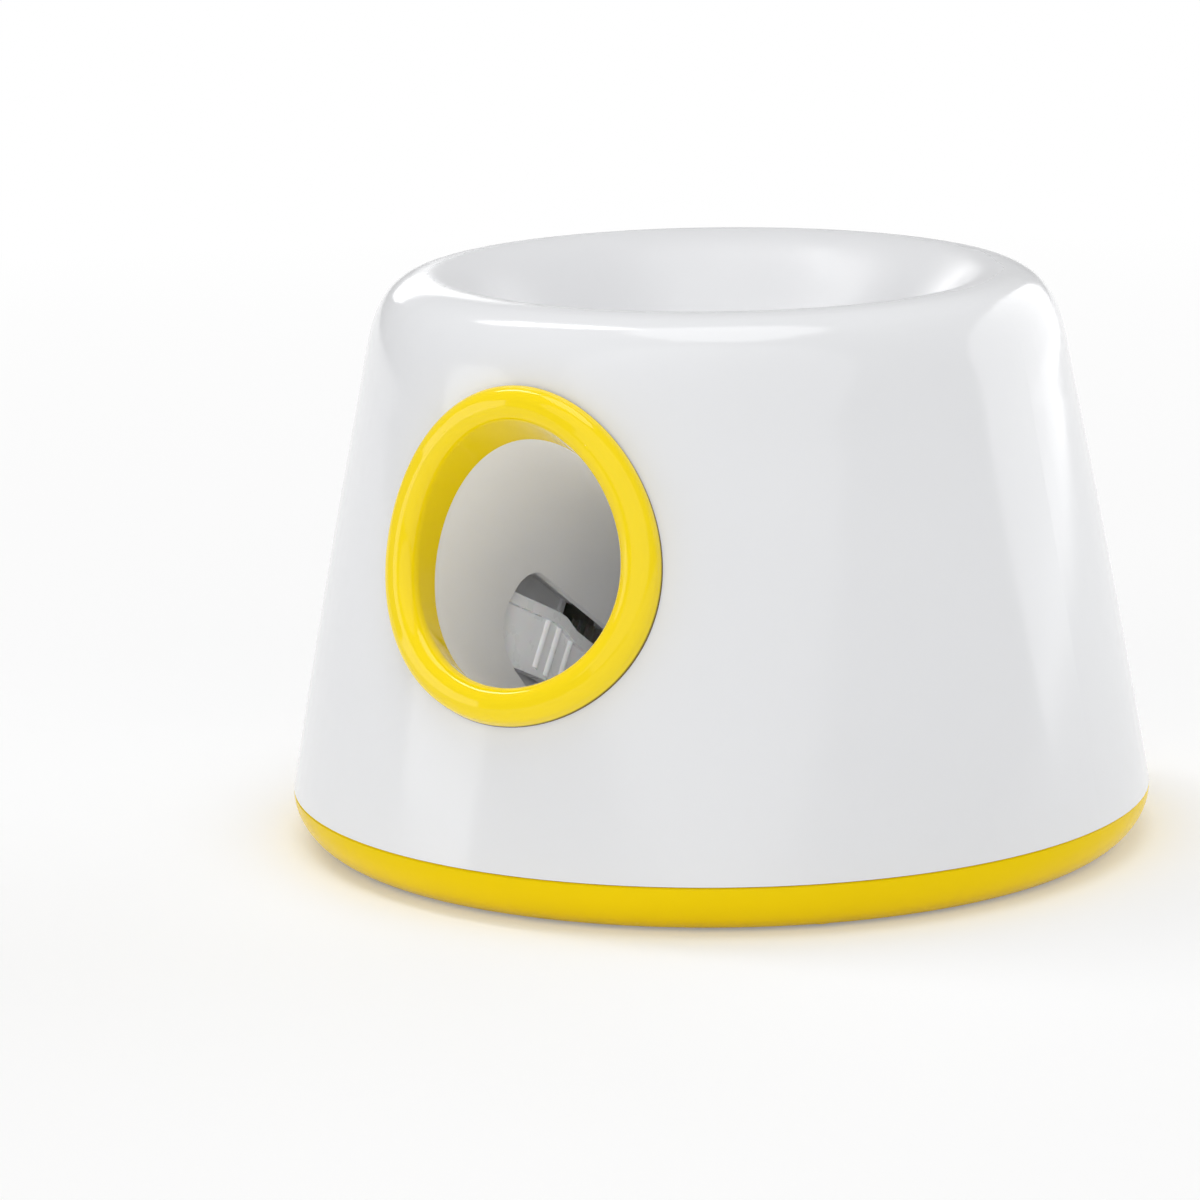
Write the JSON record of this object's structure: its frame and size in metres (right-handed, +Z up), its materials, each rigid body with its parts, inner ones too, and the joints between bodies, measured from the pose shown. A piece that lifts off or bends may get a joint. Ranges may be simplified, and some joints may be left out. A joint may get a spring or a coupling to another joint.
{
  "type": "automatic dog ball launcher",
  "caption": "Round automatic ball launcher: dished hopper feeds a slanted barrel, where a geared, spring-driven hammer strikes the ball out of a ring in the side",
  "frame": {"origin": "middle of the underside, on the floor that the rubber feet stand on", "axes": "+Z up along the axis of the case, -Y toward the launch ring, +Y toward the rear controls, X across"},
  "size_m": [0.265, 0.265, 0.1746],
  "materials": {
    "shell_white": "glossy moulded ABS",
    "ring_yellow": "glossy moulded ABS",
    "base_yellow": "satin gloss moulded ABS",
    "liner_grey": "satin moulded ABS",
    "gear_nylon": "natural acetal",
    "frame_black": "fine textured black ABS",
    "steel": "zinc-plated or ground steel",
    "spring_steel": "drawn spring wire",
    "brass": "machined brass",
    "rubber": "matt moulded rubber",
    "board_green": "solder-masked laminate",
    "lens_clear": "translucent light guide",
    "button_grey": "satin moulded cap",
    "cell_wrap": "shrink wrap"
  },
  "bodies": {
    "case": {"ball_sensor": "frame_black", "barrel_screws": "steel", "barrel_tube": "liner_grey", "base_screws": "steel", "base_tray": "base_yellow", "battery_cells": "cell_wrap", "battery_door": "base_yellow", "beeper": "frame_black", "board_screws": "steel", "board_switches": "frame_black", "chute_screws": "steel", "control_board": "board_green", "control_panel": "shell_white", "door_screws": "steel", "drive_axle": "steel", "drop_chute": "liner_grey", "frame_screws": "steel", "gearbox_cover": "frame_black", "gearbox_frame": "frame_black", "gearbox_screws": "steel", "hammer_bumper": "rubber", "hammer_pin": "steel", "hammer_spring": "spring_steel", "idler_axle": "steel", "indicator_lenses": "lens_clear", "launch_ring": "ring_yellow", "motor_can": "steel", "motor_end_cap": "frame_black", "motor_screws": "steel", "outer_shell": "shell_white", "rubber_feet": "rubber", "usb_port": "steel"},
    "hammer_arm": {"hammer": "liner_grey"},
    "drive": {"drive_gear": "gear_nylon"},
    "idler": {"idler_gear": "gear_nylon"},
    "motor_rotor": {"motor_pinion": "brass", "motor_shaft": "steel"},
    "power_key": {"power_button": "button_grey"},
    "distance_key": {"distance_button": "button_grey"}
  },
  "joints": [
    {"name": "hammer_swing", "type": "hinge", "parent": "case", "child": "hammer_arm", "pos_m": [-0.046, 0.00661, 0.02648], "axis": [0, 0.5446, 0.8387], "range_deg": [0, 88], "stiffness_Nm_per_rad": 0.06},
    {"name": "drive_turn", "type": "hinge", "parent": "case", "child": "drive", "pos_m": [-0.0715, 0.00661, 0.02648], "axis": [0, 0.5446, 0.8387], "continuous": true},
    {"name": "idler_turn", "type": "hinge", "parent": "case", "child": "idler", "pos_m": [-0.07698, -0.01298, 0.03921], "axis": [0, 0.5446, 0.8387], "continuous": true},
    {"name": "motor_turn", "type": "hinge", "parent": "case", "child": "motor_rotor", "pos_m": [-0.07907, -0.03303, 0.05223], "axis": [0, 0.5446, 0.8387], "continuous": true},
    {"name": "power_press", "type": "slide", "parent": "case", "child": "power_key", "axis": [0, -0.9839, -0.1785], "range_m": [0, 0.0015], "stiffness_N_per_m": 400},
    {"name": "distance_press", "type": "slide", "parent": "case", "child": "distance_key", "axis": [0, -0.9839, -0.1785], "range_m": [0, 0.0015], "stiffness_N_per_m": 400}
  ],
  "couplings": [
    {"joint": "drive_turn", "follows": "hammer_swing", "ratio": -1.4286},
    {"joint": "idler_turn", "follows": "hammer_swing", "ratio": 5.7143},
    {"joint": "motor_turn", "follows": "hammer_swing", "ratio": -22.857}
  ]
}
